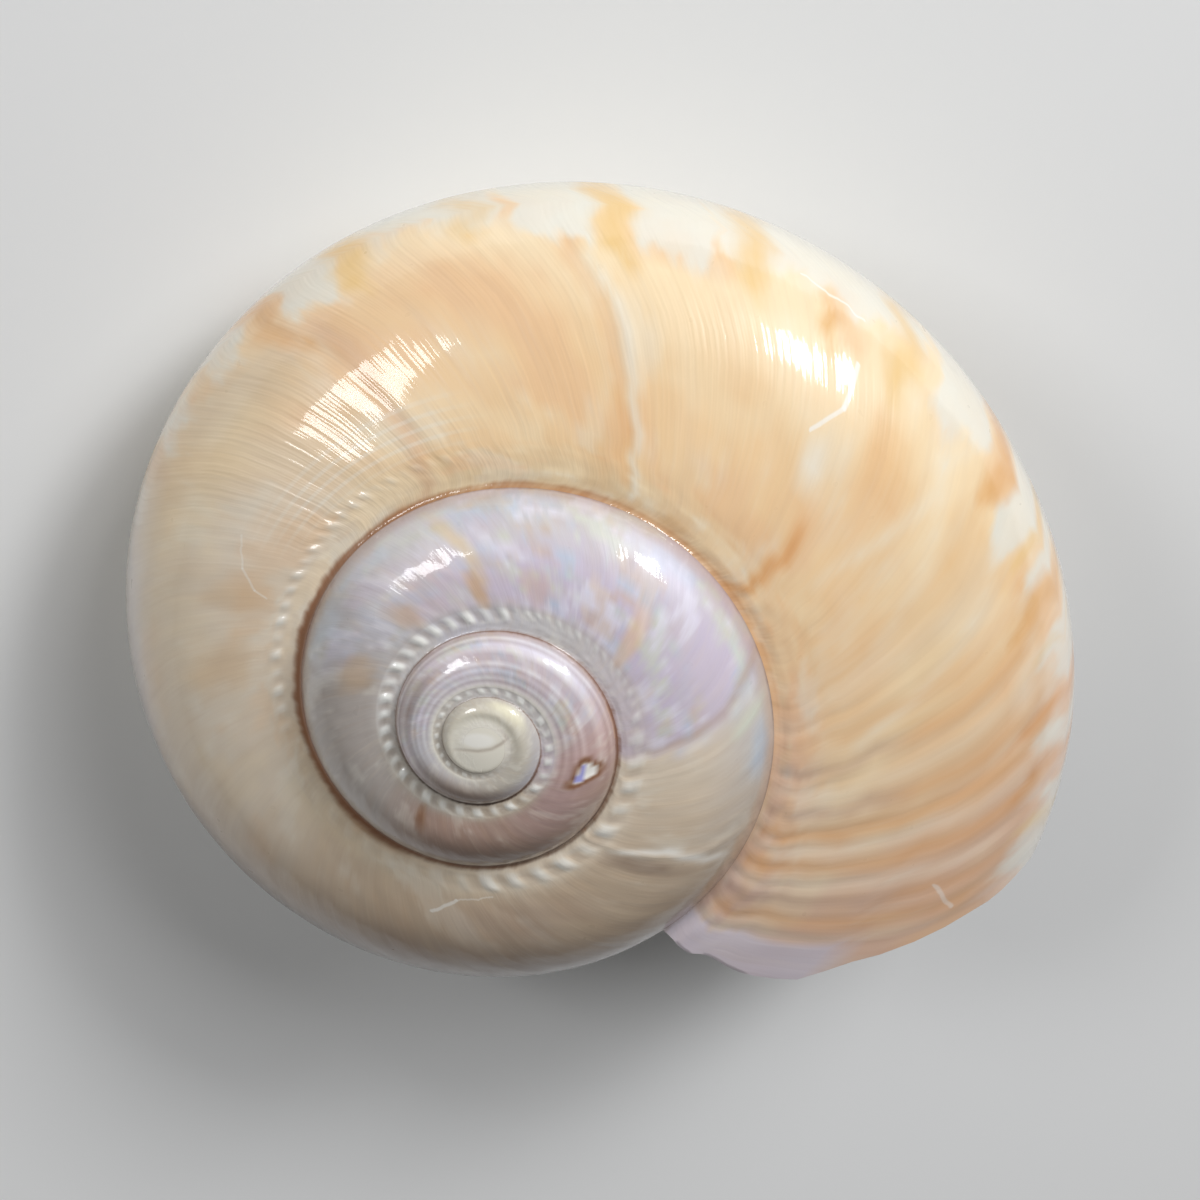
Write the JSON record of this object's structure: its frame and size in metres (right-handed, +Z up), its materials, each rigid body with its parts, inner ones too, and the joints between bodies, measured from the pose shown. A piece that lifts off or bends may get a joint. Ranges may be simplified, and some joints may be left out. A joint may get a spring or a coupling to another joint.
{
  "type": "spiral seashell",
  "caption": "Low, right-coiled snail shell with a beaded suture, a wide open mouth and a deep umbilicus with a folded rim, standing apex up on its lip and base",
  "frame": {"origin": "centre of the footprint of the shell's bounding box, on the surface that it stands on", "axes": "+Z up towards the apex side, +X along the greatest breadth, from the older side of the body whorl to the lip, and the mouth opens towards -Y"},
  "size_m": [0.0248, 0.0204, 0.0115],
  "materials": {
    "polished_shell": "gloss"
  },
  "bodies": {
    "root": {"shell": "polished_shell"}
  },
  "joints": []
}
